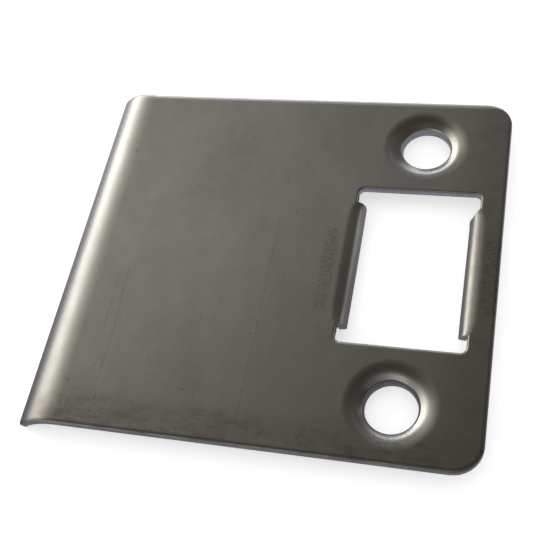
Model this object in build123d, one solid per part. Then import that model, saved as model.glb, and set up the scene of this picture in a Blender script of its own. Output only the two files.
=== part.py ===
from build123d import *
import os
from math import acos, cos, radians, sin, tan

# Full-lip strike plate for a door latch, pressed from one piece of thin stainless sheet.
# The origin is on the back face, at the centre of the latch opening and midway between the screw holes.
# +X points to the short edge, -X to the curled lip, +Y runs along the plate's height and
# +Z points out of the visible face. All lengths are in millimetres and all angles in degrees.

# Sheet and outline
sheet_thickness = 1.05
plate_height = 57.15
screw_line_to_edge = 12.1
screw_line_to_lip_bend = 44.7
edge_corner_radius = 4.0
edge_roll = 0.42

# Lip, curled down away from the visible face
lip_bend_radius = 8.5
lip_bend_angle = 53.1
lip_corner_radius = 0.5

# Screw holes, each at the bottom of a round dimple
screw_spacing = 41.275
screw_hole_radius = 3.5
dimple_radius = 6.5
dimple_slope = 31.0
dimple_depth = 1.25
dimple_mouth_radius = 3.2

# Latch opening
opening_width = 17.4
opening_height = 24.75
opening_corner_radius = 0.8
opening_roll = 0.28

# Flanges folded down along both long sides of the opening
flange_length = 19.9
flange_reach = 1.2
flange_face_drop = 1.5
fold_radius = 2.5
fold_end_radius = 1.5
lip_fold_spread = 8.0
edge_fold_spread = 3.0
edge_flange_slant = 1.2
fold_margin = 0.4
fold_sections = 7

# Values that follow from the sizes above
half_height = plate_height / 2
half_opening_width = opening_width / 2
half_flange = flange_length / 2
flange_face = half_opening_width - flange_reach
fold_outer = flange_face + fold_radius + fold_margin
through = 2 * (sheet_thickness + dimple_depth + flange_face_drop)
lip_center = Vector(-screw_line_to_lip_bend, 0, sheet_thickness - lip_bend_radius)


def lip_point(radius, angle):
    """Point of the lip's section, at a distance from the bend's centre line and an angle along the bend."""
    turn = radians(angle)
    return lip_center + Vector(-radius * sin(turn), 0, radius * cos(turn))


def lip_arc(radius):
    """One surface of the curled lip, from the flat plate to the free end."""
    points = [lip_point(radius, share * lip_bend_angle) for share in (0, 0.5, 1)]
    return Edge.make_three_point_arc(*points)


def bent_strip():
    """Sheet as long as the plate is high, flat as far as the lip and then curled down."""
    outer = lip_arc(lip_bend_radius)
    inner = lip_arc(lip_bend_radius - sheet_thickness)
    top_start = Vector(screw_line_to_edge, 0, sheet_thickness)
    back_start = Vector(screw_line_to_edge, 0, 0)
    outline = Wire(
        [
            Edge.make_line(top_start, outer @ 0),
            outer,
            Edge.make_line(outer @ 1, inner @ 1),
            inner,
            Edge.make_line(inner @ 0, back_start),
            Edge.make_line(back_start, top_start),
        ]
    )
    return Pos(0, half_height, 0) * extrude(Face(outline), plate_height, dir=(0, -1, 0))


def rounded_blank():
    """Bent strip with its four corners rounded and the visible face's border rolled over."""
    strip = bent_strip()
    short_edge = strip.edges().filter_by(Axis.Z).group_by(Axis.X)[-1]
    strip = fillet(short_edge, edge_corner_radius)
    tip = lip_point(lip_bend_radius - sheet_thickness / 2, lip_bend_angle)
    ends = [Vector(tip.X, end * half_height, tip.Z) for end in (-1, 1)]
    strip = fillet([strip.edges().sort_by_distance(end)[0] for end in ends], lip_corner_radius)
    flat = strip.faces().filter_by(Plane.XY).sort_by(Axis.Z)[-1]
    curl = strip.faces().filter_by(GeomType.CYLINDER).sort_by(SortBy.AREA)[-1]
    border = flat.edges() + curl.edges()
    seam = border.sort_by_distance(lip_point(lip_bend_radius, 0))[:2]
    return fillet([edge for edge in border if edge not in seam], edge_roll)


def dimple_ring():
    """Round dimple of even sheet thickness, with the screw hole through its bottom."""
    slope = radians(dimple_slope)
    shoulder = screw_hole_radius + dimple_depth / tan(slope)
    shift = sheet_thickness * tan(slope / 2)
    drop_at_hole = dimple_depth + sheet_thickness / cos(slope)
    top_shoulder = (shoulder, sheet_thickness)
    back_shoulder = (shoulder + shift, 0)
    rim = (screw_hole_radius, sheet_thickness - dimple_depth)
    bottom = (screw_hole_radius, sheet_thickness - drop_at_hole)
    top_outer, back_outer = (dimple_radius, sheet_thickness), (dimple_radius, 0)
    section = Polygon(top_outer, top_shoulder, rim, bottom, back_shoulder, back_outer, align=None)
    roundings = (
        (top_shoulder, dimple_mouth_radius),
        (back_shoulder, dimple_mouth_radius - sheet_thickness),
    )
    for corner, radius in roundings:
        section = fillet(section.vertices().sort_by_distance(corner)[0], radius)
    return revolve(Plane.XZ * section, Axis.Z)


def latch_opening():
    """Rectangular hole with small round corners."""
    window = RectangleRounded(opening_width, opening_height, opening_corner_radius)
    return Pos(0, 0, -through / 2) * extrude(window, through)


def fold_section(side, y, radius):
    """Closed outline of the folded sheet at one height of the plate.

    The fold leaves the plate level, turns down by up to a right angle and ends in a short straight
    flange with a full round tip. Its visible surface always ends at the same face and drop.
    """
    turn = acos(max(0, 1 - flange_face_drop / (radius + fold_margin)))
    straight = (flange_face_drop - radius * (1 - cos(turn))) / sin(turn)
    start = flange_face + radius * sin(turn) + straight * cos(turn)

    def at(angle, depth, along=0.0):
        """Point at an angle of the fold, a depth below the visible surface and a way along the flange."""
        reach = radius - depth
        across = start - reach * sin(angle) - along * cos(angle)
        up = sheet_thickness - radius + reach * cos(angle) - along * sin(angle)
        return Vector(side * across, y, up)

    top_outer = Vector(side * fold_outer, y, sheet_thickness)
    back_outer = Vector(side * fold_outer, y, 0)
    middle = sheet_thickness / 2
    edges = [
        Edge.make_line(top_outer, at(0, 0)),
        Edge.make_three_point_arc(at(0, 0), at(turn / 2, 0), at(turn, 0)),
        Edge.make_line(at(turn, 0), at(turn, 0, straight)),
        Edge.make_three_point_arc(
            at(turn, 0, straight), at(turn, middle, straight + middle), at(turn, sheet_thickness, straight)
        ),
        Edge.make_line(at(turn, sheet_thickness, straight), at(turn, sheet_thickness)),
        Edge.make_three_point_arc(
            at(turn, sheet_thickness), at(turn / 2, sheet_thickness), at(0, sheet_thickness)
        ),
        Edge.make_line(at(0, sheet_thickness), back_outer),
        Edge.make_line(back_outer, top_outer),
    ]
    return Face(Wire(edges))


def flange(side, spread):
    """Flange along one side, with a fold that is widest halfway and tightens towards both ends."""
    sections = []
    for index in range(fold_sections):
        share = 2 * index / (fold_sections - 1) - 1
        radius = fold_radius - (fold_radius - fold_end_radius) * abs(share) ** spread
        sections.append(fold_section(side, share * half_flange, radius))
    return loft(sections)


def slanted_end():
    """Wedge that takes the upper end off the flange nearer to the short edge."""
    wall, tip = (half_opening_width, half_flange), (flange_face - fold_margin, half_flange)
    low = (tip[0], half_flange - (wall[0] - tip[0]) * edge_flange_slant / flange_reach)
    wedge = Polygon(wall, tip, low, align=None)
    return Pos(0, 0, -through / 2) * extrude(wedge, through)


def fold_zone(side):
    """Block that clears the flat sheet where a fold takes its place."""
    return Pos(side * fold_outer / 2, 0, 0) * Box(fold_outer, flange_length, through)


def strike_plate():
    """The whole plate as one solid."""
    plate = rounded_blank() - latch_opening()
    border = plate.faces().filter_by(Plane.XY).sort_by(Axis.Z)[-1].inner_wires()[0].edges()
    plate = fillet(border, opening_roll)
    plate = plate - fold_zone(-1) - fold_zone(1)
    plate = plate + flange(-1, lip_fold_spread) + (flange(1, edge_fold_spread) - slanted_end())
    for end in (-1, 1):
        seat = Pos(0, end * screw_spacing / 2, 0)
        plate = plate - seat * Cylinder(dimple_radius, through) + seat * dimple_ring()
    return plate


result = strike_plate()
os.makedirs("parts", exist_ok=True)
export_step(result, "parts/strike_plate.step")
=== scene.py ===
"""Full-lip door strike plate of satin stainless sheet, lying on a pale table in soft daylight.

The part's own frame is used throughout: the origin is on the back face at the centre of the latch
opening, +X points to the short edge, -X to the curled lip and +Z out of the visible face. Sizes of the
plate are in millimetres, and its mesh and the room are in metres.
"""

import logging
import math
from dataclasses import dataclass, field
from enum import Enum

import bpy
import numpy as np
from mathutils import Matrix, Vector
from mathutils.geometry import delaunay_2d_cdt

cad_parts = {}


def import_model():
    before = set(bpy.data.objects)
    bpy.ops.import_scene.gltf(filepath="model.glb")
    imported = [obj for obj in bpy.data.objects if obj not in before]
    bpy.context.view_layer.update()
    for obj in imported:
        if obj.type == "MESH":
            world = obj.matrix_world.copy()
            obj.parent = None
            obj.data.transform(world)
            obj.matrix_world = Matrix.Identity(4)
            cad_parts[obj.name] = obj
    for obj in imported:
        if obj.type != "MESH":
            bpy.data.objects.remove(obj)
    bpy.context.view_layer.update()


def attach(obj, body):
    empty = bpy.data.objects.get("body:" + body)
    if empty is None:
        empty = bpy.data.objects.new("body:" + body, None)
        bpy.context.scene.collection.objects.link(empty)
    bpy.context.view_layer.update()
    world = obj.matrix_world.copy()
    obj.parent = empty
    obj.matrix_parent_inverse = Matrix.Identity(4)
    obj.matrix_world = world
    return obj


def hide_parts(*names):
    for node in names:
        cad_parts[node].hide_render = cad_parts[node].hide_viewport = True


LOG = logging.getLogger("strike_plate")
MM = 0.001
WHITE = (1.0, 1.0, 1.0, 1.0)
ARC_STEP = 10.0
NUDGE = 1e-4
MERGE_GAP = 1e-6

Colour = tuple[float, float, float]
Point = tuple[float, float, float]
Spot = tuple[float, float]
Corner = tuple[float, float, float, float, float]
Socket = bpy.types.NodeSocket


class LampRole(Enum):
    """What a lamp does in the room."""

    WINDOW = "window"
    FILL = "fill"


class Finish(Enum):
    """Which surface of the sheet a face belongs to."""

    ROLLED = 0
    SHEARED = 1


def unit(rows: np.ndarray) -> np.ndarray:
    """Rows of vectors, each brought to a length of one."""
    return rows / np.linalg.norm(rows, axis=1, keepdims=True)


def grid(columns: np.ndarray, rows: np.ndarray) -> np.ndarray:
    """Points at every crossing of columns and rows."""
    return np.stack(np.meshgrid(columns, rows), axis=-1).reshape(-1, 2)


def circle(radius: float, centre: float, spokes: int) -> np.ndarray:
    """Points of a circle whose middle lies at X = 0 and a place along the plate's height."""
    turn = np.arange(spokes) * 2 * math.pi / spokes
    return np.stack([radius * np.cos(turn), centre + radius * np.sin(turn)], axis=1)


@dataclass(frozen=True)
class Lip:
    """Curled edge that guides the latch: the sheet bends down round a level line."""

    bend_line: float = 44.7
    radius: float = 8.5
    angle: float = 53.1
    far_flare: float = 0.75

    @property
    def tip(self) -> float:
        """Place of the free end along the unrolled visible face."""
        return -self.bend_line - self.radius * math.radians(self.angle)

    def spread(self, u: np.ndarray, v: np.ndarray, half_height: float) -> np.ndarray:
        """Places along the plate's height after the far end of the lip has spread in the press."""
        share = (-self.bend_line - u) / (-self.bend_line - self.tip)
        return v + self.far_flare * share * np.clip(v / half_height, 0.0, None) ** 4

    def bend(self, u: np.ndarray, w: np.ndarray, thickness: float) -> tuple[np.ndarray, np.ndarray]:
        """Rolls points of the flat sheet into the lip.

        Args:
            u: Places along the unrolled visible face.
            w: Depths below the visible face.
            thickness: Thickness of the sheet.

        Returns:
            The points' X and Z.
        """
        turn = (-self.bend_line - u) / self.radius
        x = -self.bend_line - (self.radius - w) * np.sin(turn)
        z = thickness - self.radius + (self.radius - w) * np.cos(turn)
        return x, z


@dataclass(frozen=True)
class Dimple:
    """Round dimple with a screw hole through its bottom, steepest at the bearing that it leans to."""

    centre: float
    slope: float
    depth: float
    mouth_radius: float
    lean: float = 0.0
    lean_bearing: float = 45.0
    hole_radius: float = 3.5
    rim_roll: float = 0.35
    spokes: int = 112

    @property
    def incline(self) -> float:
        """Slope of the dimple's side in radians."""
        return math.radians(self.slope)

    @property
    def mouth(self) -> float:
        """Radius at which the sheet starts to leave the flat plate."""
        shoulder = self.hole_radius + self.depth / math.tan(self.incline)
        return shoulder + self.mouth_radius * math.tan(self.incline / 2)

    def sink(self, across: np.ndarray, along: np.ndarray) -> tuple[np.ndarray, np.ndarray]:
        """Depth and slope of the visible face beside the hole's axis.

        Args:
            across: Distances from the axis along X.
            along: Distances from the axis along Y.

        Returns:
            The drop below the flat plate and the slope in radians.
        """
        bearing = np.arctan2(along, across) - math.radians(self.lean_bearing)
        steepest = self.incline + math.radians(self.lean) * np.cos(bearing)
        inward = np.clip(self.mouth - np.hypot(across, along), 0.0, None)
        slope = np.minimum(np.arcsin(np.clip(inward / self.mouth_radius, 0.0, 1.0)), steepest)
        rounded = self.mouth_radius * (1 - np.cos(slope))
        straight = np.clip(inward - self.mouth_radius * np.sin(steepest), 0.0, None)
        return rounded + straight * np.tan(steepest), slope


@dataclass(frozen=True)
class Flange:
    """Flange drawn down along one long side of the latch opening."""

    side: int
    face: float
    half_length: float
    slant: float = 0.0
    fold_spread: float = 8.0
    reach: float = 1.2
    face_drop: float = 1.5
    fold_radius: float = 2.5
    fold_end_radius: float = 1.5
    ease: float = 0.4

    def radius(self, v: np.ndarray) -> np.ndarray:
        """Radius of the fold's visible face along the flange."""
        share = np.clip(np.abs(v) / self.half_length, 0.0, 1.0)
        return self.fold_radius - (self.fold_radius - self.fold_end_radius) * share**self.fold_spread

    def turn(self, v: np.ndarray) -> np.ndarray:
        """Angle through which the sheet turns down, in radians."""
        return np.arccos(np.clip(1 - self.face_drop / (self.radius(v) + self.ease), 0.0, 1.0))

    def straight(self, v: np.ndarray) -> np.ndarray:
        """Length of the straight stretch below the fold."""
        turn = self.turn(v)
        return (self.face_drop - self.radius(v) * (1 - np.cos(turn))) / np.sin(turn)

    def start(self, v: np.ndarray) -> np.ndarray:
        """Distance of the fold's first line from the middle of the opening."""
        turn = self.turn(v)
        return self.face + self.radius(v) * np.sin(turn) + self.straight(v) * np.cos(turn)

    def length(self, v: np.ndarray) -> np.ndarray:
        """Length of the visible face from the fold's first line to the rounded tip."""
        return self.radius(v) * self.turn(v) + self.straight(v)

    def unfolded_end(self, v: float) -> float:
        """Distance of the unfolded flange's end from the middle of the opening."""
        at = np.array([v])
        return float((self.start(at) - self.length(at))[0])

    def bend(
        self, u: np.ndarray, v: np.ndarray, w: np.ndarray, thickness: float
    ) -> tuple[np.ndarray, np.ndarray]:
        """Folds points of the flat sheet into the flange.

        Args:
            u: Places along the unrolled visible face.
            v: Places along the flange.
            w: Depths below the visible face.
            thickness: Thickness of the sheet.

        Returns:
            The points' X and Z.
        """
        radius, turn, start = self.radius(v), self.turn(v), self.start(v)
        run = start - self.side * u
        angle = np.minimum(run / radius, turn)
        along = np.clip(run - radius * turn, 0.0, None)
        across = start - (radius - w) * np.sin(angle) - along * np.cos(angle)
        z = thickness - radius + (radius - w) * np.cos(angle) - along * np.sin(angle)
        return self.side * across, z


@dataclass
class Border:
    """Closed border of the flat sheet, walked with the metal on the left."""

    points: np.ndarray
    top_roll: np.ndarray
    back_roll: np.ndarray
    wall_slope: float = 0.0
    roll_depth: float = 1.0

    def inward(self) -> np.ndarray:
        """Finds the way into the metal at each point.

        Returns:
            One unit direction for each point.
        """
        ahead = unit(np.roll(self.points, -1, axis=0) - self.points)
        along = unit(ahead + np.roll(ahead, 1, axis=0))
        return np.stack([-along[:, 1], along[:, 0]], axis=1)


def draw_border(corners: list[Corner], step: float) -> Border:
    """Rounds the corners of a closed border and divides its sides.

    Args:
        corners: Place, rounding, and top and back roll of the side that leaves each corner.
        step: Distance between points along the sides.

    Returns:
        The border with its rolls at each point.
    """
    table = np.array(corners)
    spots, rolls = table[:, :2], table[:, 3:]
    out = unit(np.roll(spots, -1, axis=0) - spots)
    into = np.roll(out, 1, axis=0)
    bends = np.arctan2(into[:, 0] * out[:, 1] - into[:, 1] * out[:, 0], (into * out).sum(axis=1))
    reach = table[:, 2] * np.tan(np.abs(bends) / 2)
    points, rolled = [], []
    for index, (radius, bend) in enumerate(zip(table[:, 2], bends)):
        here, after = spots[index], (index + 1) % len(spots)
        if radius > 0:
            pieces = max(3, round(math.degrees(abs(bend)) / ARC_STEP))
            spoke = math.copysign(radius, bend) * np.array([into[index, 1], -into[index, 0]])
            centre = here - into[index] * reach[index] - spoke
            for part in range(pieces + 1):
                cos, sin = math.cos(bend * part / pieces), math.sin(bend * part / pieces)
                turned = np.array([spoke[0] * cos - spoke[1] * sin, spoke[0] * sin + spoke[1] * cos])
                points.append(centre + turned)
                rolled.append(rolls[index - 1] + (rolls[index] - rolls[index - 1]) * part / pieces)
        else:
            points.append(here)
            rolled.append((rolls[index - 1] + rolls[index]) / 2)
        start, end = here + out[index] * reach[index], spots[after] - out[index] * reach[after]
        parts = max(1, round(float(np.linalg.norm(end - start)) / step))
        for part in range(1, parts):
            points.append(start + (end - start) * part / parts)
            rolled.append(rolls[index])
    top_roll, back_roll = np.array(rolled).T
    return Border(np.array(points), top_roll, back_roll)


def inside(points: np.ndarray, loop: np.ndarray) -> np.ndarray:
    """Tells which points lie inside a closed loop.

    Args:
        points: Points to test.
        loop: The loop's points in order.

    Returns:
        True for each point inside.
    """
    result = np.zeros(len(points), bool)
    x, y = points[:, 0], points[:, 1]
    for a, b in zip(loop, np.roll(loop, -1, axis=0)):
        if a[1] == b[1]:
            continue
        crosses = (a[1] > y) != (b[1] > y)
        result ^= crosses & (x < (b[0] - a[0]) * (y - a[1]) / (b[1] - a[1]) + a[0])
    return result


def on_metal(points: np.ndarray, rings: list[np.ndarray]) -> np.ndarray:
    """Tells which points lie inside the first ring and outside the others.

    Args:
        points: Points to test.
        rings: The outer ring, then the rings of the holes.

    Returns:
        True for each point on the metal.
    """
    result = inside(points, rings[0])
    for ring in rings[1:]:
        result &= ~inside(points, ring)
    return result


def triangulate(rings: list[np.ndarray], spots: np.ndarray, gap: float) -> tuple[np.ndarray, np.ndarray]:
    """Fills the blank between its border rings with triangles.

    Args:
        rings: The outer ring, then the rings of the holes.
        spots: Points wanted inside.
        gap: Least distance between such a point and a ring.

    Returns:
        All points, the rings' first, and the triangles, counter-clockwise.

    Raises:
        ValueError: A ring crosses itself or another.
    """
    spots = spots[on_metal(spots, rings)]
    for ring in rings:
        for half in np.array_split(ring, 2):
            away = np.linalg.norm(spots[:, None, :] - half[None, :, :], axis=2).min(axis=1)
            spots = spots[away > gap]
    points = np.concatenate([*rings, spots])
    edges: list[tuple[int, int]] = []
    for ring in rings:
        first = len(edges)
        edges += [(first + i, first + (i + 1) % len(ring)) for i in range(len(ring))]
    made = delaunay_2d_cdt([Vector(point) for point in points], edges, [], 0, MERGE_GAP, True)
    if len(made[0]) != len(points):
        raise ValueError("the blank's border crosses itself")
    index_of = np.array([source[0] for source in made[3]])
    triangles = index_of[np.array(made[2])]
    return points, triangles[on_metal(points[triangles].mean(axis=1), rings)]


@dataclass
class Skin:
    """Surface of a piece, collected part by part in millimetres."""

    vertices: list[np.ndarray] = field(default_factory=list)
    normals: list[np.ndarray] = field(default_factory=list)
    faces: list[np.ndarray] = field(default_factory=list)
    finishes: list[np.ndarray] = field(default_factory=list)

    def add_points(self, vertices: np.ndarray, normals: np.ndarray) -> np.ndarray:
        """Adds vertices.

        Args:
            vertices: Their places.
            normals: The surface's direction at each.

        Returns:
            Their numbers in the surface.
        """
        first = sum(len(part) for part in self.vertices)
        self.vertices.append(vertices)
        self.normals.append(normals)
        return np.arange(first, first + len(vertices))

    def add_faces(self, faces: np.ndarray, finish: Finish) -> None:
        """Adds faces of one finish."""
        self.faces.append(faces)
        self.finishes.append(np.full(len(faces), finish.value))

    def mesh(self, name: str) -> bpy.types.Mesh:
        """Makes the surface into a smooth mesh with its own normals.

        Args:
            name: The mesh's name.

        Returns:
            The mesh, in metres.
        """
        mesh = bpy.data.meshes.new(name)
        vertices = np.concatenate(self.vertices) * MM
        mesh.from_pydata(vertices.tolist(), [], [face.tolist() for part in self.faces for face in part])
        mesh.polygons.foreach_set("material_index", np.concatenate(self.finishes).astype(np.int32))
        mesh.polygons.foreach_set("use_smooth", np.ones(len(mesh.polygons), bool))
        mesh.normals_split_custom_set_from_vertices(np.concatenate(self.normals).tolist())
        mesh.update()
        return mesh


@dataclass(frozen=True)
class Spacing:
    """Distances between the points of the plate's mesh, closer where the sheet bends."""

    border: float = 0.4
    opening: float = 0.3
    flat: float = 0.9
    lip: float = 0.3
    far_edge: float = 0.5
    far_rows: tuple[float, ...] = (-0.12, 0.04, 0.16, 0.3, 0.5)
    fold: float = 0.2
    fold_along: float = 0.35
    fold_inset: float = 0.15
    fold_run: Spot = (-0.7, 3.2)
    dimple: float = 0.2
    dimple_inset: float = 0.18
    dimple_outset: float = 0.5
    form_gap: float = 0.6
    fold_gap: float = 0.8
    border_gap: float = 0.13
    tab_rows: int = 24
    slant_shares: tuple[float, ...] = (0.45, 0.6, 0.8)
    roll_rows: int = 5


@dataclass
class StrikePlate:
    """Whole plate: a flat blank of sheet, given its lip, dimples and flanges, meshed with its thickness."""

    thickness: float = 1.05
    half_height: float = 28.575
    short_edge: float = 12.1
    edge_corner_radius: float = 4.0
    lip_corner_radius: float = 0.65
    edge_roll: float = 0.6
    edge_roll_depth: float = 0.5
    far_reach: float = 0.32
    far_droop_width: float = 1.2
    far_droop_angle: float = 15.0
    far_droop_fade: float = 4.0
    far_droop_blend: float = 0.15
    cut_burr: float = 0.035
    screw_spacing: float = 41.275
    half_opening_width: float = 8.7
    half_opening_height: float = 12.375
    opening_corner_radius: float = 0.8
    opening_roll: float = 0.36
    near_opening_roll: float = 0.6
    half_flange: float = 9.95
    flange_slant: float = 1.2
    notch_corner_radius: float = 0.1
    tip_corner_radius: float = 0.58
    tip_flat: float = 0.01
    end_roll: float = 0.05
    lip: Lip = field(default_factory=Lip)
    spacing: Spacing = field(default_factory=Spacing)

    def __post_init__(self) -> None:
        """Makes the dimples and flanges that follow from the plate's sizes."""
        row = self.screw_spacing / 2
        lower = Dimple(-row, slope=34.0, depth=1.14, mouth_radius=3.8)
        upper = Dimple(row, slope=30.0, depth=1.104, mouth_radius=3.5, lean=4.5)
        self.dimples = [lower, upper]
        face = self.half_opening_width - Flange.reach
        self.flanges = {
            -1: Flange(-1, face, self.half_flange),
            1: Flange(1, face, self.half_flange, self.flange_slant),
        }

    def place(self, blank: np.ndarray) -> np.ndarray:
        """Maps points of the flat blank to the pressed plate.

        Args:
            blank: Place across the unrolled visible face, place along it and depth below it, in rows.

        Returns:
            One row of X, Y and Z for each point, in millimetres.
        """
        u, v, w = blank.T
        w = w + self.far_droop(u, v)
        x, y, z = u.copy(), v.copy(), self.thickness - w
        curled = u < -self.lip.bend_line
        bent_x, bent_z = self.lip.bend(u, w, self.thickness)
        x, z = np.where(curled, bent_x, x), np.where(curled, bent_z, z)
        y = np.where(curled, self.lip.spread(u, v, self.half_height), y)
        tab_zone = (np.abs(u) < self.half_opening_width) & (
            np.abs(v) < (self.half_flange + self.half_opening_height) / 2
        )
        for side, flange in self.flanges.items():
            before_fold = side * u < flange.start(v)
            folded = (side * u > 0) & (tab_zone | (np.abs(v) <= self.half_flange)) & before_fold
            bent_x, bent_z = flange.bend(u, v, w, self.thickness)
            x, z = np.where(folded, bent_x, x), np.where(folded, bent_z, z)
        for dimple in self.dimples:
            across, along = u, v - dimple.centre
            r = np.hypot(across, along)
            drop, slope = dimple.sink(across, along)
            shift = w * np.sin(slope) / np.maximum(r, 1e-9)
            near = r < dimple.mouth
            x = np.where(near, u + across * shift, x)
            y = np.where(near, v + along * shift, y)
            z = np.where(near, self.thickness - drop - w * np.cos(slope), z)
        return np.stack([x, y, z], axis=1)

    def far_droop(self, u: np.ndarray, v: np.ndarray) -> np.ndarray:
        """Drop of the sheet along its far edge, which the press has turned down a little, less on the lip.

        Args:
            u: Places across the unrolled visible face.
            v: Places along the plate's height.

        Returns:
            How far each place lies below the undisturbed sheet.
        """
        on_lip = np.clip(1 + (u + self.lip.bend_line) / self.far_droop_fade, 0.0, 1.0)
        beyond = np.clip(v - self.half_height - self.far_reach + self.far_droop_width, 0.0, None)
        run = np.hypot(beyond, self.far_droop_blend) - self.far_droop_blend
        return on_lip * math.tan(math.radians(self.far_droop_angle)) * run

    def directions(self, blank: np.ndarray) -> tuple[np.ndarray, np.ndarray, np.ndarray]:
        """Finds how the pressed sheet lies at points of the blank.

        Args:
            blank: The points in rows, as for `place`.

        Returns:
            Unit vectors across, along and out of the sheet.
        """
        steps = ((NUDGE, 0.0, 0.0), (0.0, NUDGE, 0.0))
        across, along = (self.place(blank + step) - self.place(blank - step) for step in steps)
        return unit(across), unit(along), unit(np.cross(across, along))

    def outer_border(self) -> Border:
        """Draws the border of the blank counter-clockwise.

        Returns:
            The border.
        """
        near, far = -self.half_height, self.half_height + self.far_reach
        roll = (self.edge_roll, self.cut_burr)
        corners = [
            (self.short_edge, near, self.edge_corner_radius, *roll),
            (self.short_edge, far, self.edge_corner_radius, *roll),
            (self.lip.tip, far, self.lip_corner_radius, *roll),
            (self.lip.tip, near, self.lip_corner_radius, *roll),
        ]
        border = draw_border(corners, self.spacing.border)
        border.roll_depth = self.edge_roll_depth
        return border

    def tab_side(self, flange: Flange) -> list[Corner]:
        """Border of one unfolded flange, from its lower notch corner to its upper one.

        Args:
            flange: The flange that the tab becomes.

        Returns:
            Corners with rounding and the rolls of the side that leaves each, for the +X side.
        """
        half, wall, end_rolls = self.half_flange, self.half_opening_width, (self.end_roll, self.end_roll)
        round_tip = (self.thickness - self.tip_flat) / 2
        tip = flange.unfolded_end(half) - round_tip
        top_end = half - flange.slant
        corners = [
            (wall, -half, self.notch_corner_radius, *end_rolls),
            (tip, -half, self.tip_corner_radius, round_tip, round_tip),
        ]
        for v in np.linspace(-half, top_end, self.spacing.tab_rows)[2:-2]:
            corners.append((flange.unfolded_end(v) - round_tip, float(v), 0.0, round_tip, round_tip))
        corners.append((tip, top_end, self.tip_corner_radius, *end_rolls))
        if flange.slant > 0:
            for share in self.spacing.slant_shares:
                u = tip + (wall - tip) * share
                bent_x, _ = flange.bend(np.array([u]), np.array([half]), np.zeros(1), self.thickness)
                v = half - flange.slant * min(1.0, (wall - abs(float(bent_x[0]))) / flange.reach)
                corners.append((u, v, 0.0, *end_rolls))
        corners.append((wall, half, self.notch_corner_radius, self.opening_roll, self.cut_burr))
        return corners

    def opening_border(self) -> Border:
        """Draws the border of the latch opening with both unfolded flanges, clockwise.

        Returns:
            The border.
        """
        wall, top, radius = self.half_opening_width, self.half_opening_height, self.opening_corner_radius
        roll = (self.opening_roll, self.cut_burr)
        right = self.tab_side(self.flanges[1])
        rolls = [roll] + [corner[3:] for corner in right[:-1]]
        down = [(*corner[:3], *rolled) for corner, rolled in zip(right, rolls)][::-1]
        near_right = (wall, -top, radius, self.near_opening_roll, self.cut_burr)
        up = [(-u, *rest) for u, *rest in self.tab_side(self.flanges[-1])]
        far = [(-wall, top, radius, *roll), (wall, top, radius, *roll)]
        corners = [*far, *down, near_right, (-wall, -top, radius, *roll), *up]
        return draw_border(corners, self.spacing.opening)

    def hole_border(self, dimple: Dimple) -> Border:
        """Draws the border of one screw hole clockwise.

        Args:
            dimple: The dimple that holds the hole.

        Returns:
            The border.
        """
        points = circle(dimple.hole_radius, dimple.centre, dimple.spokes)
        even = np.ones(dimple.spokes)
        return Border(
            np.roll(points[::-1], 1, axis=0),
            dimple.rim_roll * even,
            self.cut_burr * even,
            math.sin(dimple.incline),
        )

    def inner_spots(self) -> np.ndarray:
        """Chooses points inside the blank: a plain grid on the flat, closer rows where the sheet bends.

        Returns:
            One place on the blank for each point.
        """
        gaps = self.spacing
        rows = np.arange(-self.half_height, self.half_height, gaps.flat)
        flat = grid(np.arange(-self.lip.bend_line, self.short_edge, gaps.flat), rows)
        flat[:, 0] += (np.round(flat[:, 1] / gaps.flat) % 2) * gaps.flat / 2
        clear = np.ones(len(flat), bool)
        for dimple in self.dimples:
            clear &= np.hypot(flat[:, 0], flat[:, 1] - dimple.centre) > dimple.mouth + gaps.form_gap
        for side, flange in self.flanges.items():
            across = side * flat[:, 0]
            at_fold = (across > 0) & (across < flange.start(flat[:, 1]) + gaps.fold_gap)
            clear &= ~(at_fold & (np.abs(flat[:, 1]) < self.half_flange + gaps.form_gap))
        droop = self.half_height + self.far_reach - self.far_droop_width
        spots = [
            flat[clear],
            grid(np.arange(self.lip.tip, self.short_edge, gaps.far_edge), droop + np.array(gaps.far_rows)),
            grid(np.arange(self.lip.tip, -self.lip.bend_line, gaps.lip), rows),
        ]
        along = np.arange(-self.half_flange + gaps.fold_inset, self.half_flange, gaps.fold_along)
        for side, flange in self.flanges.items():
            start = flange.start(along)
            for run in np.arange(*gaps.fold_run, gaps.fold):
                row = np.stack([side * (start - run), along], axis=1)
                spots.append(row[run < flange.length(along)])
        for dimple in self.dimples:
            inner = dimple.hole_radius + dimple.rim_roll + gaps.dimple_inset
            for radius in np.arange(inner, dimple.mouth + gaps.dimple_outset, gaps.dimple):
                spots.append(circle(radius, dimple.centre, dimple.spokes))
        return np.concatenate(spots)

    def press(
        self, skin: Skin, points: np.ndarray, depth: np.ndarray, lean: float, outward: np.ndarray
    ) -> np.ndarray:
        """Presses points of the blank into shape and adds them to the surface.

        Args:
            skin: The surface.
            points: Places on the blank.
            depth: Depth of each below the visible face.
            lean: Angle of the normals from the visible face's, in radians.
            outward: Unit direction out of the metal on the blank.

        Returns:
            The new vertices' numbers.
        """
        blank = np.column_stack([points, depth])
        across, along, out = self.directions(blank)
        side = outward[:, :1] * across + outward[:, 1:] * along
        return skin.add_points(self.place(blank), out * math.cos(lean) + side * math.sin(lean))

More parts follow.
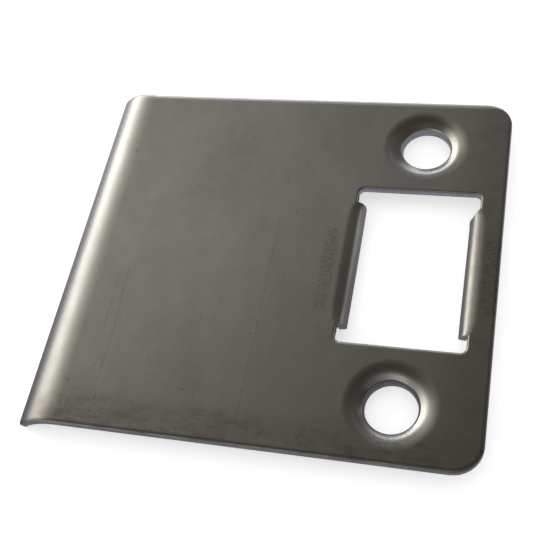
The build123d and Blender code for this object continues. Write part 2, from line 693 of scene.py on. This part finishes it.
    def wall(self, skin: Skin, border: Border) -> list[tuple[np.ndarray, np.ndarray]]:
        """Adds the rolled and sheared wall of the sheet along one border.

        Args:
            skin: The surface that gets it.
            border: The border.

        Returns:
            Places on the blank and vertex numbers of each ring, from the visible face to the back.
        """
        inward = border.inward()
        top, back, share = border.top_roll, border.back_roll, border.roll_depth
        upper, lower = [], []
        for a in np.linspace(0.0, math.pi / 2, self.spacing.roll_rows):
            cos, sin = math.cos(a), math.sin(a)
            upper.append((top * (1 - sin), share * top * (1 - cos), math.atan2(share * sin, cos)))
            lower.append((back * (1 - cos), self.thickness - back * (1 - sin), a + math.pi / 2))
        rings = []
        for way, depth, lean in upper + lower:
            places = border.points + inward * (way - depth * border.wall_slope)[:, None]
            rings.append((places, self.press(skin, places, depth, lean, -inward)))
        for level in range(len(rings) - 1):
            high, low = rings[level][1], rings[level + 1][1]
            faces = np.stack([high, low, np.roll(low, -1), np.roll(high, -1)], axis=1)
            sheared = level >= self.spacing.roll_rows - 2
            skin.add_faces(faces, Finish.SHEARED if sheared else Finish.ROLLED)
        return rings

    def build_mesh(self) -> bpy.types.Mesh:
        """Meshes both faces of the sheet and the walls between them.

        Returns:
            The mesh, in metres, with a finish for each face.
        """
        skin = Skin()
        borders = [self.outer_border(), self.opening_border()] + [self.hole_border(d) for d in self.dimples]
        walls = [self.wall(skin, border) for border in borders]
        spots = self.inner_spots()
        for level, depth, lean in ((0, 0.0, 0.0), (-1, self.thickness, math.pi)):
            rings = [wall[level][0] for wall in walls]
            points, triangles = triangulate(rings, spots, self.spacing.border_gap)
            inner = points[sum(len(ring) for ring in rings) :]
            added = self.press(skin, inner, np.full(len(inner), depth), lean, np.zeros_like(inner))
            numbers = np.concatenate([wall[level][1] for wall in walls] + [added])
            skin.add_faces(numbers[triangles if level == 0 else triangles[:, ::-1]], Finish.ROLLED)
        return skin.mesh("pressed_plate")

    def dress(self, mesh: bpy.types.Mesh) -> None:
        """Gives the sheet's faces and cut edges their finishes.

        Args:
            mesh: The plate's mesh.
        """
        sheet = Unevenness().group()
        for material in (SatinSteel().build(sheet, line_group()), ShearedSteel().build(sheet)):
            mesh.materials.append(material)

    def build(self) -> bpy.types.Object:
        """Builds the plate and puts it in the place of the solid one.

        Returns:
            The plate.
        """
        mesh = self.build_mesh()
        self.dress(mesh)
        plate = bpy.data.objects.new("pressed_plate", mesh)
        bpy.context.scene.collection.objects.link(plate)
        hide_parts("strike_plate")
        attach(plate, "root")
        return plate


@dataclass
class Graph:
    """Shader nodes of a material, a node group or the world, with short ways to add and link them.

    Where they colour the plate, `place` is the socket with the place on it in millimetres.
    """

    tree: bpy.types.NodeTree
    place: Socket | None = None

    def feed(self, target: Socket, value: object) -> None:
        """Links a socket to an input, or sets the input where the value is a plain one.

        Args:
            target: The input.
            value: A socket, a number, a vector or a colour.
        """
        if isinstance(value, Socket):
            self.tree.links.new(value, target)
        else:
            target.default_value = value

    def node(self, kind: str, *fed: object, **settings: object) -> bpy.types.Node:
        """Adds a node.

        Args:
            kind: The node's type without its prefix.
            fed: Values of the inputs in their order.
            settings: The node's own attributes, then inputs by name, with a capital and "_" for a blank.

        Returns:
            The new node.
        """
        made = self.tree.nodes.new("ShaderNode" + kind)
        for name, value in settings.items():
            if name[0].isupper():
                self.feed(made.inputs[name.replace("_", " ")], value)
            else:
                setattr(made, name, value)
        for target, value in zip(made.inputs, fed):
            self.feed(target, value)
        return made

    def number(self, operation: str, *values: Socket | float, clamp: bool = False) -> Socket:
        """Number that an operation makes of others, kept from 0 to 1 where clamped."""
        return self.node("Math", *values, operation=operation, use_clamp=clamp).outputs[0]

    def vector(self, operation: str, *values: Socket | Point) -> Socket:
        """Vector or number that an operation makes of vectors."""
        made = self.node("VectorMath", *values, operation=operation)
        return made.outputs["Value" if operation in ("DOT_PRODUCT", "DISTANCE") else "Vector"]

    def scaled(self, vector: Socket | Colour, factor: Socket | float) -> Socket:
        """Vector or colour times a number."""
        return self.node("VectorMath", vector, operation="SCALE", Scale=factor).outputs["Vector"]

    def split(self, vector: Socket) -> bpy.types.NodeOutputs:
        """Sockets with the X, Y and Z of a vector."""
        return self.node("SeparateXYZ", vector).outputs

    def most(self, values: list[Socket]) -> Socket:
        """Finds the largest of several values.

        Args:
            values: Sockets with the values.

        Returns:
            Socket with the largest.
        """
        largest = values[0]
        for value in values[1:]:
            largest = self.number("MAXIMUM", largest, value)
        return largest

    def distance(self, across: Socket, along: Socket) -> Socket:
        """Distance that two ways at a right angle make."""
        squares = [self.number("MULTIPLY", way, way) for way in (across, along)]
        return self.number("SQRT", self.number("ADD", *squares))

    def noise(self, scale: Point, detail: float, rough: float) -> Socket:
        """Adds noise over the plate, which may be longer along one axis.

        Args:
            scale: Features per millimetre along each axis.
            detail: Octaves of finer noise.
            rough: How strong the finer octaves are.

        Returns:
            Socket with the noise, from 0 to 1.
        """
        spread = self.vector("MULTIPLY", self.place, scale)
        made = self.node("TexNoise", Vector=spread, Scale=1.0, Detail=detail, Roughness=rough)
        return made.outputs["Fac"]

    def ramp(
        self, value: Socket, start: Socket | float, end: float, low: float = 0.0, high: float = 1.0
    ) -> Socket:
        """Value mapped smoothly from one range, start to end, to another, low to high."""
        made = self.node("MapRange", value, start, end, low, high, interpolation_type="SMOOTHSTEP")
        return made.outputs["Result"]

    def swing(self, value: Socket, start: float, end: float, depth: float) -> Socket:
        """Factor that swings about one by a depth as a value runs over a range."""
        return self.ramp(value, start, end, 1 - depth / 2, 1 + depth / 2)

    def blend(self, first: Colour, second: Colour, share: Socket) -> Socket:
        """Colour that goes from the first to the second as a share goes from 0 to 1."""
        made = self.node("Mix", data_type="RGBA", A=(*first, 1.0), B=(*second, 1.0), Factor=share)
        return made.outputs["Result"]

    def seen(self, unseen: float, seen: float) -> Socket:
        """Value that changes where the camera, a mirror or glass looks.

        Args:
            unseen: Value for all other light.
            seen: Value where it is looked at.

        Returns:
            Socket with the value.
        """
        path = self.node("LightPath").outputs
        looks = self.number("ADD", path["Is Camera Ray"], path["Is Glossy Ray"])
        every = self.number("ADD", looks, path["Is Transmission Ray"], clamp=True)
        return self.ramp(every, 0.0, 1.0, unseen, seen)

    def steel(self, colour: Socket, roughness: Socket, height: Socket, metal: float) -> None:
        """Ends a material as steel with a fine relief.

        Args:
            colour: Socket with the colour.
            roughness: Socket with the roughness.
            height: Socket with the relief in millimetres.
            metal: Share of bare metal in the surface.
        """
        bump = self.node("Bump", Strength=1.0, Distance=MM, Height=height)
        shader = self.node("BsdfPrincipled", Base_Color=colour, Roughness=roughness, Metallic=metal)
        self.feed(shader.inputs["Normal"], bump.outputs["Normal"])
        self.node("OutputMaterial", Surface=shader.outputs["BSDF"])


def new_material(name: str) -> tuple[bpy.types.Material, Graph]:
    """Makes an empty node material.

    Args:
        name: The material's name.

    Returns:
        The material and its nodes.
    """
    material = bpy.data.materials.new(name)
    material.use_nodes = True
    material.node_tree.nodes.clear()
    return material, Graph(material.node_tree)


def new_group(
    name: str, inputs: dict[str, str], outputs: dict[str, str]
) -> tuple[Graph, bpy.types.NodeOutputs, bpy.types.NodeInputs]:
    """Makes an empty node group.

    Args:
        name: The group's name.
        inputs: Kinds of value by input name.
        outputs: Kinds of value by output name.

    Returns:
        The group's nodes, the sockets with its inputs and the sockets that take its outputs.
    """
    graph = Graph(bpy.data.node_groups.new(name, "ShaderNodeTree"))
    for direction, sockets in (("INPUT", inputs), ("OUTPUT", outputs)):
        for label, kind in sockets.items():
            graph.tree.interface.new_socket(name=label, in_out=direction, socket_type="NodeSocket" + kind)
    nodes = graph.tree.nodes
    return graph, nodes.new("NodeGroupInput").outputs, nodes.new("NodeGroupOutput").inputs


@dataclass(frozen=True)
class Unevenness:
    """Uneven tone and fine grain of the sheet, shared by its faces and its cut edges."""

    wide_scale: Point = (0.09, 0.06, 0.09)
    patch_scale: Point = (0.42, 0.28, 0.42)
    grain_scale: Point = (7.0, 2.6, 7.0)
    wide_share: float = 0.6

    def group(self) -> Graph:
        """Makes the node group.

        Returns:
            The group, with the place in metres in, and the place in millimetres, cloudiness and grain out.
        """
        graph, inlet, outlet = new_group(
            "sheet_unevenness",
            {"Place": "Vector"},
            {"Millimetres": "Vector", "Clouds": "Float", "Grain": "Float"},
        )
        graph.place = graph.scaled(inlet["Place"], 1 / MM)
        wide = graph.number("MULTIPLY", graph.noise(self.wide_scale, 3.0, 0.55), self.wide_share)
        patches = graph.number("MULTIPLY", graph.noise(self.patch_scale, 4.0, 0.62), 1 - self.wide_share)
        graph.feed(outlet["Millimetres"], graph.place)
        graph.feed(outlet["Clouds"], graph.number("ADD", wide, patches))
        graph.feed(outlet["Grain"], graph.noise(self.grain_scale, 3.0, 0.6))
        return graph


def line_group() -> Graph:
    """Makes the mask of one thin line between two places of the visible face.

    Returns:
        The group, with the place, the line's start, reach and width in millimetres in, and the mask out.
    """
    graph, inlet, outlet = new_group(
        "thin_line",
        {"Place": "Vector", "Start": "Vector", "Reach": "Vector", "Width": "Float"},
        {"Mask": "Float"},
    )
    away = graph.vector("SUBTRACT", inlet["Place"], inlet["Start"])
    flat = graph.vector("MULTIPLY", away, (1.0, 1.0, 0.0))
    dots = [graph.vector("DOT_PRODUCT", way, inlet["Reach"]) for way in (flat, inlet["Reach"])]
    foot = graph.scaled(inlet["Reach"], graph.number("DIVIDE", *dots, clamp=True))
    gap = graph.vector("DISTANCE", flat, foot)
    graph.feed(outlet["Mask"], graph.ramp(gap, inlet["Width"], 0.0))
    return graph


@dataclass(frozen=True)
class Mark:
    """Thin line on the visible face, in plate millimetres."""

    start: Spot
    end: Spot
    width: float
    strength: float

    def mask(self, graph: Graph, line: Graph, place: Socket) -> Socket:
        """Adds the line's mask times its strength.

        Args:
            graph: The material's nodes.
            line: Group for one thin line.
            place: Socket with the place in millimetres.

        Returns:
            Socket with the mask.
        """
        reach = (self.end[0] - self.start[0], self.end[1] - self.start[1], 0.0)
        made = graph.node(
            "Group", node_tree=line.tree, Place=place, Start=(*self.start, 0.0), Reach=reach, Width=self.width
        )
        return graph.number("MULTIPLY", made.outputs["Mask"], self.strength)


@dataclass(frozen=True)
class Patch:
    """Rectangle of the visible face with soft borders, in plate millimetres."""

    centre: Spot
    half: Spot
    fade: float

    def mask(self, graph: Graph) -> Socket:
        """Adds the rectangle's mask.

        Args:
            graph: The material's nodes.

        Returns:
            Socket with the mask, from 0 to 1.
        """
        parts, sides = graph.split(graph.place), []
        for axis, middle, half in zip("XY", self.centre, self.half):
            away = graph.number("ABSOLUTE", graph.number("SUBTRACT", parts[axis], middle))
            sides.append(graph.ramp(away, half + self.fade, half))
        return graph.number("MULTIPLY", *sides)


@dataclass(frozen=True)
class Mottle:
    """Noise in plate millimetres, and the levels between which it shows."""

    scale: Point
    detail: float
    rough: float
    start: float
    end: float
    low: float
    high: float

    def add(self, graph: Graph) -> Socket:
        """Adds the noise at its levels."""
        value = graph.noise(self.scale, self.detail, self.rough)
        return graph.ramp(value, self.start, self.end, self.low, self.high)


@dataclass(frozen=True)
class SatinSteel:
    """Rolled stainless sheet: dull satin, uneven tone, fine grain, die chatter and handling marks, with
    painted shade towards the short edge and a painted highlight in the dimples.
    """

    tone: Colour = (0.412, 0.389, 0.352)
    # Brown of the stains, also used for the painted shade beside the short edge.
    stain_and_shade_tone: Colour = (0.20, 0.165, 0.125)
    roughness: float = 0.30
    cloud_roughening: float = 0.035
    cloud_smoothing: float = 0.03
    mark_dulling: float = 0.12
    stain_and_shade_dulling: float = 0.14
    burnish: float = 0.09
    # Painted highlight: factor by which the dimples' colour is brightened.
    dimple_highlight_brightening: float = 1.16
    cloud_levels: Spot = (0.25, 0.75)
    cloud_depth: float = 0.21
    dull_levels: Spot = (0.2, 0.8)
    grain_levels: Spot = (0.2, 0.8)
    grain_depth: float = 0.13
    grain_height: float = 0.0011
    chatter_scale: Point = (1.3, 4.2, 1.0)
    chatter_levels: Spot = (0.35, 0.7)
    chatter_depth: float = 0.3
    chatter_height: float = 0.0006
    mark_height: float = -0.001
    wave_scale: float = 0.55
    wobble: float = 0.14
    back_fade: float = 0.2
    marks: tuple[Mark, ...] = (
        Mark((-41.5, -4.9), (-41.7, -14.5), 0.18, 0.24),
        Mark((-40.5, -4.0), (-40.0, -15.5), 0.20, 0.24),
        Mark((-40.0, -15.5), (-40.3, -21.7), 0.20, 0.28),
        Mark((-39.9, -23.9), (-39.95, -26.9), 0.15, 0.62),
        Mark((-45.2, -22.1), (-44.2, -22.2), 0.12, 0.45),
        Mark((-44.2, -22.2), (-43.4, -23.4), 0.12, 0.50),
        Mark((-43.3, -23.2), (-42.4, -23.5), 0.11, 0.30),
        Mark((-43.5, -24.8), (-43.7, -26.5), 0.13, 0.70),
        Mark((-19.7, 26.3), (-19.5, 4.0), 0.15, 0.16),
        Mark((-19.5, 4.0), (-19.6, -26.6), 0.15, 0.26),
        Mark((-33.9, -17.5), (-33.3, -21.6), 0.15, 0.22),
        Mark((-30.0, -8.2), (-27.6, -11.2), 0.24, 0.16),
        Mark((-45.8, -21.0), (-38.0, 21.0), 0.18, 0.08),
    )
    breaks: Mottle = Mottle((2.0, 2.0, 2.0), 2.0, 0.6, 0.40, 0.62, 0.12, 1.0)
    chatter: tuple[Patch, ...] = (
        Patch((-11.4, -1.4), (0.6, 6.2), 0.8),
        Patch((11.2, -1.0), (0.9, 5.4), 0.9),
    )
    grime: Patch = Patch((-20.0, -27.6), (26.0, 1.6), 3.4)
    # Painted shade: the face made darker and browner towards the short edge, mottled by the film noise.
    short_edge_shade: Patch = Patch((13.0, 0.0), (2.6, 30.0), 6.5)
    short_edge_shade_levels: Spot = (0.25, 0.55)
    film: Mottle = Mottle((0.22, 0.5, 0.4), 5.0, 0.7, 0.36, 0.72, 0.17, 0.74)
    specks: Mottle = Mottle((2.3, 3.0, 2.3), 3.0, 0.65, 0.57, 0.68, 0.0, 0.9)
    rare_specks: Mottle = Mottle((1.3, 1.3, 1.3), 1.0, 0.5, 0.765, 0.80, 0.0, 0.55)
    dimple_centre: Spot = (0.0, 20.64)
    dimple_radius: float = 6.2
    dimple_fade: float = 2.0

    def build(self, sheet: Graph, line: Graph) -> bpy.types.Material:
        """Builds the material.

        Args:
            sheet: Shared group for the sheet's unevenness.
            line: Group for one thin line.

        Returns:
            The finished material.
        """
        material, graph = new_material("satin_steel")
        place = graph.node("TexCoord").outputs
        uneven = graph.node("Group", node_tree=sheet.tree, Place=place["Object"]).outputs
        graph.place, clouds, grain = uneven["Millimetres"], uneven["Clouds"], uneven["Grain"]
        visible = graph.ramp(graph.split(place["Normal"])["Z"], 0.0, self.back_fade)
        marked = graph.number("MULTIPLY", self.lines(graph, line), visible)
        chattered = graph.number("MULTIPLY", self.chatter_mask(graph), visible)
        stains_and_shade = graph.number("MULTIPLY", self.stain_and_shade_mask(graph), visible)
        burnish_and_highlight = self.dimple_mask(graph)
        ribs = graph.noise(self.chatter_scale, 2.0, 0.5)

        cloudy = graph.swing(clouds, *self.cloud_levels, self.cloud_depth)
        tone = graph.number("MULTIPLY", cloudy, graph.swing(grain, *self.grain_levels, self.grain_depth))
        # Painted highlight: brighter colour in the dimples.
        painted_highlight = graph.ramp(burnish_and_highlight, 0.0, 1.0, 1.0, self.dimple_highlight_brightening)
        tone = graph.number("MULTIPLY", tone, painted_highlight)
        ribbed = graph.ramp(ribs, *self.chatter_levels, 0.0, self.chatter_depth)
        ribbed = graph.number("MULTIPLY", chattered, ribbed)
        for mask in (marked, ribbed):
            tone = graph.number("MULTIPLY", tone, graph.number("SUBTRACT", 1.0, mask))
        # Stain colour blended in, which also paints the shade beside the short edge.
        colour = graph.scaled(graph.blend(self.tone, self.stain_and_shade_tone, stains_and_shade), tone)

        dullest, smoothest = self.roughness + self.cloud_roughening, self.roughness - self.cloud_smoothing
        dull = graph.ramp(clouds, *self.dull_levels, dullest, smoothest)
        changes = ((marked, self.mark_dulling), (stains_and_shade, self.stain_and_shade_dulling), (burnish_and_highlight, -self.burnish))
        for mask, change in changes:
            dull = graph.number("MULTIPLY_ADD", mask, change, dull)

        height = graph.number("MULTIPLY", grain, self.grain_height)
        ridges = graph.number("MULTIPLY", chattered, ribs)
        for relief, rise in ((ridges, self.chatter_height), (marked, self.mark_height)):
            height = graph.number("MULTIPLY_ADD", relief, rise, height)
        graph.steel(colour, dull, height, 1.0)
        return material

    def lines(self, graph: Graph, line: Graph) -> Socket:
        """Adds the thin scratches, a little wavy and broken.

        Args:
            graph: The material's nodes.
            line: Group for one thin line.

        Returns:
            Socket with how strongly a scratch shows.
        """
        made = graph.node("TexNoise", graph.place, Scale=self.wave_scale, Detail=2.0)
        wave = graph.vector("SUBTRACT", made.outputs["Color"], (0.5, 0.5, 0.5))
        bent = graph.vector("ADD", graph.place, graph.scaled(wave, self.wobble))
        total = graph.most([mark.mask(graph, line, bent) for mark in self.marks])
        return graph.number("MULTIPLY", total, self.breaks.add(graph))

    def chatter_mask(self, graph: Graph) -> Socket:
        """Adds the places beside the opening where the die has chattered."""
        return graph.most([patch.mask(graph) for patch in self.chatter])

    def dimple_mask(self, graph: Graph) -> Socket:
        """Adds the two dimples, which the punch has burnished and where a painted highlight brightens the
        colour.

        Args:
            graph: The material's nodes.

        Returns:
            Socket with the mask.
        """
        parts = graph.split(graph.place)
        across = graph.number("SUBTRACT", parts["X"], self.dimple_centre[0])
        along = graph.number("SUBTRACT", graph.number("ABSOLUTE", parts["Y"]), self.dimple_centre[1])
        distance = graph.distance(across, along)
        return graph.ramp(distance, self.dimple_radius, self.dimple_radius - self.dimple_fade)

    def stain_and_shade_mask(self, graph: Graph) -> Socket:
        """Adds specks and the brownish film along the near edge, and painted shade, darker and browner and
        mottled, towards the short edge.

        Args:
            graph: The material's nodes.

        Returns:
            Socket with the strength of the stain or the painted shade.
        """
        film, grime = self.film.add(graph), self.grime.mask(graph)
        # Painted shade beside the short edge, mottled by the film.
        side_shade = graph.ramp(film, 0.0, 1.0, *self.short_edge_shade_levels)
        return graph.most(
            [
                graph.number("MULTIPLY", grime, film),
                graph.number("MULTIPLY", self.short_edge_shade.mask(graph), side_shade),
                graph.number("MULTIPLY", grime, self.specks.add(graph)),
                self.rare_specks.add(graph),
            ]
        )


@dataclass(frozen=True)
class ShearedSteel:
    """Cut edge of the sheet: duller, drawn in fine lines through the thickness, grey with a bluish tint that
    is painted shade.
    """

    # Grey of the cut metal; its bluish tint is painted shade.
    tone: Colour = (0.47, 0.47, 0.53)
    metal: float = 0.7
    roughness: float = 0.46
    line_roughening: float = 0.06
    line_smoothing: float = 0.05
    line_scale: Point = (3.6, 3.6, 0.35)
    line_levels: Spot = (0.25, 0.75)
    line_tones: Spot = (0.86, 1.12)
    cloud_levels: Spot = (0.3, 0.7)
    cloud_depth: float = 0.24
    line_height: float = 0.0015
    grain_share: float = 0.5

    def build(self, sheet: Graph) -> bpy.types.Material:
        """Builds the material.

        Args:
            sheet: Shared group for the sheet's unevenness.

        Returns:
            The finished material.
        """
        material, graph = new_material("sheared_steel")
        place = graph.node("TexCoord").outputs["Object"]
        uneven = graph.node("Group", node_tree=sheet.tree, Place=place).outputs
        graph.place = uneven["Millimetres"]
        drawn = graph.noise(self.line_scale, 3.0, 0.6)
        clouds = graph.swing(uneven["Clouds"], *self.cloud_levels, self.cloud_depth)
        tone = graph.number("MULTIPLY", graph.ramp(drawn, *self.line_levels, *self.line_tones), clouds)
        dullest, smoothest = self.roughness + self.line_roughening, self.roughness - self.line_smoothing
        dull = graph.ramp(drawn, *self.line_levels, dullest, smoothest)
        relief = graph.number("MULTIPLY_ADD", uneven["Grain"], self.grain_share, drawn)
        height = graph.number("MULTIPLY", relief, self.line_height)
        graph.steel(graph.scaled(self.tone, tone), dull, height, self.metal)
        return material


@dataclass
class Lamp:
    """Soft rectangular lamp that faces the plate."""

    role: LampRole
    direction: Point
    distance: float
    size: tuple[float, float]
    power: float
    colour: Colour

    def place(self, target: Point) -> bpy.types.Object:
        """Hangs the lamp and turns it to the target.

        Args:
            target: The point that the lamp faces.

        Returns:
            The lamp object.
        """
        data = bpy.data.lights.new(self.role.value, "AREA")
        data.shape = "RECTANGLE"
        data.size, data.size_y = self.size
        data.energy = self.power
        data.color = self.colour
        lamp = bpy.data.objects.new(self.role.value, data)
        towards = Vector(self.direction).normalized()
        lamp.location = Vector(target) + towards * self.distance
        lamp.rotation_euler = towards.to_track_quat("Z", "Y").to_euler()
        lamp.visible_glossy = False
        bpy.context.scene.collection.objects.link(lamp)
        return lamp


@dataclass
class Viewpoint:
    """Camera at the place from which the plate is seen."""

    location: Point = (0.013974, -0.065353, 0.113749)
    right: Point = (0.9643697545, 0.1904154610, -0.1836652628)
    down: Point = (0.0734674405, -0.8596806104, -0.5055212985)
    forward: Point = (-0.2541525363, 0.4740160338, -0.8430393158)
    sensor: float = 36.0
    lens: float = 63.625
    clip: Spot = (0.005, 10.0)

    def place(self) -> bpy.types.Object:
        """Makes the camera and gives it to the scene.

        Returns:
            The camera object.
        """
        data = bpy.data.cameras.new("camera")
        data.sensor_width = self.sensor
        data.lens = self.lens
        data.clip_start, data.clip_end = self.clip
        camera = bpy.data.objects.new("camera", data)
        turn = Matrix((Vector(self.right), -Vector(self.down), -Vector(self.forward))).transposed()
        camera.matrix_world = Matrix.Translation(self.location) @ turn.to_4x4()
        bpy.context.scene.collection.objects.link(camera)
        bpy.context.scene.camera = camera
        return camera


def aim(azimuth: float, height: float) -> Vector:
    """Unit direction at an azimuth from +X towards +Y and a height over the table, both in degrees."""
    turn, rise = math.radians(azimuth), math.radians(height)
    return Vector((math.cos(rise) * math.cos(turn), math.cos(rise) * math.sin(turn), math.sin(rise)))


@dataclass(frozen=True)
class Glow:
    """Soft bright patch on the wall of the light tent, brightest in its middle.

    The patch lies at an azimuth, from +X towards +Y, and a height over the table, and is rolled about
    its middle. Its width runs up the wall and its length along it before it is rolled.
    """

    azimuth: float
    height: float
    roll: float
    width: float
    length: float
    colour: Colour

    def add(self, graph: Graph, direction: Socket) -> Socket:
        """Adds the patch's light to a node tree.

        Args:
            graph: The tent's nodes.
            direction: Socket with the unit direction from the plate.

        Returns:
            Socket with the patch's colour times its strength.
        """
        middle, upwards = aim(self.azimuth, self.height), aim(self.azimuth, self.height + 90)
        turn = Matrix.Rotation(math.radians(-self.roll), 3, middle)
        squares = []
        for axis, size in ((upwards, self.width), (upwards.cross(middle), self.length)):
            way = graph.vector("DOT_PRODUCT", direction, turn @ axis / size)
            squares.append(graph.number("MULTIPLY", way, way))
        fall = graph.number("MULTIPLY", graph.number("ADD", *squares), -1.0)
        ahead = graph.number("GREATER_THAN", graph.vector("DOT_PRODUCT", direction, middle), 0.0)
        return graph.scaled(self.colour, graph.number("MULTIPLY", graph.number("EXPONENT", fall), ahead))


@dataclass
class Studio:
    """Pale table under a light tent, which the steel mirrors, and soft lamps."""

    table_height: float = -2.98 * MM
    table_half: float = 1.6
    table_tone: Colour = (0.80, 0.80, 0.80)
    table_roughness: float = 0.8
    table_gloss: float = 0.1
    table_lift: float = 0.56
    near_glow: Colour = (0.17, 0.175, 0.19)
    far_glow: Colour = (0.60, 0.62, 0.68)
    glow_reach: float = 30 * MM
    contact_tones: Spot = (0.72, 1.15)
    contact_reach: float = 14 * MM
    plate_middle: Spot = (-19.6 * MM, 0.0)
    plate_half: Spot = (31.7 * MM, 28.6 * MM)
    tent_radius: float = 1.1
    tent_rings: int = 24
    tent_spokes: int = 48
    tent_cloth: Colour = (0.072, 0.061, 0.053)
    world_diffuse: float = 0.55
    lamp_target: Point = (-0.02, 0.0, 0.0)
    glows: tuple[Glow, ...] = (
        Glow(146.2, 11.7, -30.5, 0.226, 0.603, (2.69, 2.72, 2.62)),
        Glow(100.0, 19.8, 40.0, 0.250, 0.615, (0.25, 0.28, 0.30)),
        Glow(140.0, 43.9, 26.1, 0.300, 0.416, (0.55, 0.575, 0.56)),
        Glow(115.0, 0.0, -0.3, 0.150, 0.709, (3.5, 3.85, 4.25)),
        Glow(34.2, 12.5, -2.8, 0.100, 0.200, (0.95, 1.0, 1.02)),
        Glow(-125.6, 25.8, -40.4, 0.200, 0.663, (0.96, 1.0, 1.08)),
    )
    lamps: tuple[Lamp, ...] = (
        Lamp(LampRole.WINDOW, (-0.70, 0.55, 0.45), 0.8, (0.5, 0.5), 1.5, (1.0, 0.98, 0.94)),
        Lamp(LampRole.FILL, (0.1, -0.1, 1.0), 0.9, (0.9, 0.9), 1.5, (1.0, 1.0, 1.0)),
    )

    def staged(self, name: str, mesh: bpy.types.Mesh, material: bpy.types.Material) -> bpy.types.Object:
        """Puts a mesh of the studio into the scene.

        Args:
            name: The object's name.
            mesh: Its form.
            material: Its finish.

        Returns:
            The object.
        """
        mesh.materials.append(material)
        piece = bpy.data.objects.new(name, mesh)
        bpy.context.scene.collection.objects.link(piece)
        return piece

    def table(self) -> bpy.types.Object:
        """Lays the table top under the plate.

        Returns:
            The table top.
        """
        half, height = self.table_half, self.table_height
        corners = [(-half, -half, height), (half, -half, height), (half, half, height), (-half, half, height)]
        mesh = bpy.data.meshes.new("table_top")
        mesh.from_pydata(corners, [], [(0, 1, 2, 3)])
        return self.staged("table_top", mesh, self.table_material())

    def table_material(self) -> bpy.types.Material:
        """Makes the matt table top, lifted to white for the camera and darker near the viewer for the steel.

        Returns:
            The material.
        """
        material, graph = new_material("pale_table")
        looks = {"Roughness": self.table_roughness, "Specular IOR Level": self.table_gloss}
        shader = graph.node("BsdfPrincipled", Base_Color=(*self.table_tone, 1.0), **looks)
        lift = graph.node("Emission", Color=WHITE, Strength=graph.seen(0.0, self.table_lift))
        both = graph.node("AddShader", shader.outputs["BSDF"], lift.outputs["Emission"])
        parts = graph.split(graph.node("TexCoord").outputs["Object"])
        share = graph.node("MapRange", parts["Y"], -self.glow_reach, self.glow_reach).outputs["Result"]
        glow = graph.blend(self.near_glow, self.far_glow, share)
        mirrored = graph.node("Emission", Color=glow, Strength=self.contact_shade(graph, parts))
        glossy = graph.node("LightPath").outputs["Is Glossy Ray"]
        choice = graph.node("MixShader", glossy, both.outputs["Shader"], mirrored.outputs["Emission"])
        graph.node("OutputMaterial", Surface=choice.outputs["Shader"])
        return material

    def contact_shade(self, graph: Graph, parts: bpy.types.NodeOutputs) -> Socket:
        """Darkens the mirrored table under the plate and close beside it.

        Args:
            graph: The table's nodes.
            parts: Sockets with the place's X and Y.

        Returns:
            Socket with the share of light left.
        """
        ways = []
        for axis, middle, half in zip("XY", self.plate_middle, self.plate_half):
            away = graph.number("ABSOLUTE", graph.number("SUBTRACT", parts[axis], middle))
            ways.append(graph.number("MAXIMUM", graph.number("SUBTRACT", away, half), 0.0))
        return graph.ramp(graph.distance(*ways), 0.0, self.contact_reach, *self.contact_tones)

    def tent(self) -> bpy.types.Object:
        """Sets up the dome of the light tent, which only the steel mirrors.

        Returns:
            The dome.
        """
        rings, spokes = self.tent_rings, self.tent_spokes
        foot = Vector((0.0, 0.0, self.table_height))
        points, faces = [], []
        for ring in range(rings):
            for spoke in range(spokes):
                points.append(foot + aim(360 * spoke / spokes, 90 * ring / rings) * self.tent_radius)
                here, beside = ring * spokes + spoke, ring * spokes + (spoke + 1) % spokes
                above = (here + spokes, beside + spokes) if ring < rings - 1 else (rings * spokes,)
                faces.append((beside, here, *above))
        points.append(foot + Vector((0.0, 0.0, self.tent_radius)))
        mesh = bpy.data.meshes.new("light_tent")
        mesh.from_pydata(points, [], faces)
        tent = self.staged("light_tent", mesh, self.tent_material())
        tent.visible_camera = tent.visible_diffuse = tent.visible_shadow = False
        return tent

    def tent_material(self) -> bpy.types.Material:
        """Makes the dim cloth with the glows behind it.

        Returns:
            The material.
        """
        material, graph = new_material("tent_cloth")
        direction = graph.vector("NORMALIZE", graph.node("TexCoord").outputs["Object"])
        light = self.tent_cloth
        for glow in self.glows:
            light = graph.vector("ADD", light, glow.add(graph, direction))
        shine = graph.node("Emission", Color=light)
        graph.node("OutputMaterial", Surface=shine.outputs["Emission"])
        return material

    def surround(self) -> bpy.types.World:
        """Sets a white surround that lights the room only gently.

        Returns:
            The scene's world.
        """
        world = bpy.data.worlds.new("surround")
        bpy.context.scene.world = world
        world.use_nodes = True
        world.node_tree.nodes.clear()
        graph = Graph(world.node_tree)
        light = graph.node("Background", Color=WHITE, Strength=graph.seen(self.world_diffuse, 1.0))
        graph.node("OutputWorld", Surface=light.outputs["Background"])
        return world

    def build(self) -> list[bpy.types.ID]:
        """Sets up the room.

        Returns:
            The table, the tent, the lamps and the surround.
        """
        bpy.context.scene.view_settings.view_transform = "Standard"
        lamps = [lamp.place(self.lamp_target) for lamp in self.lamps]
        return [self.table(), self.tent(), *lamps, self.surround()]


def main() -> None:
    """Builds the plate, its finish and the room, and reports each piece."""
    logging.basicConfig(level=logging.INFO, format="%(name)s: %(message)s")
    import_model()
    plate = StrikePlate().build()
    LOG.info("%s: %d vertices, %d faces", plate.name, len(plate.data.vertices), len(plate.data.polygons))
    for piece in (*Studio().build(), Viewpoint().place()):
        LOG.info("%s: in place", piece.name)


if __name__ == "__main__":
    main()
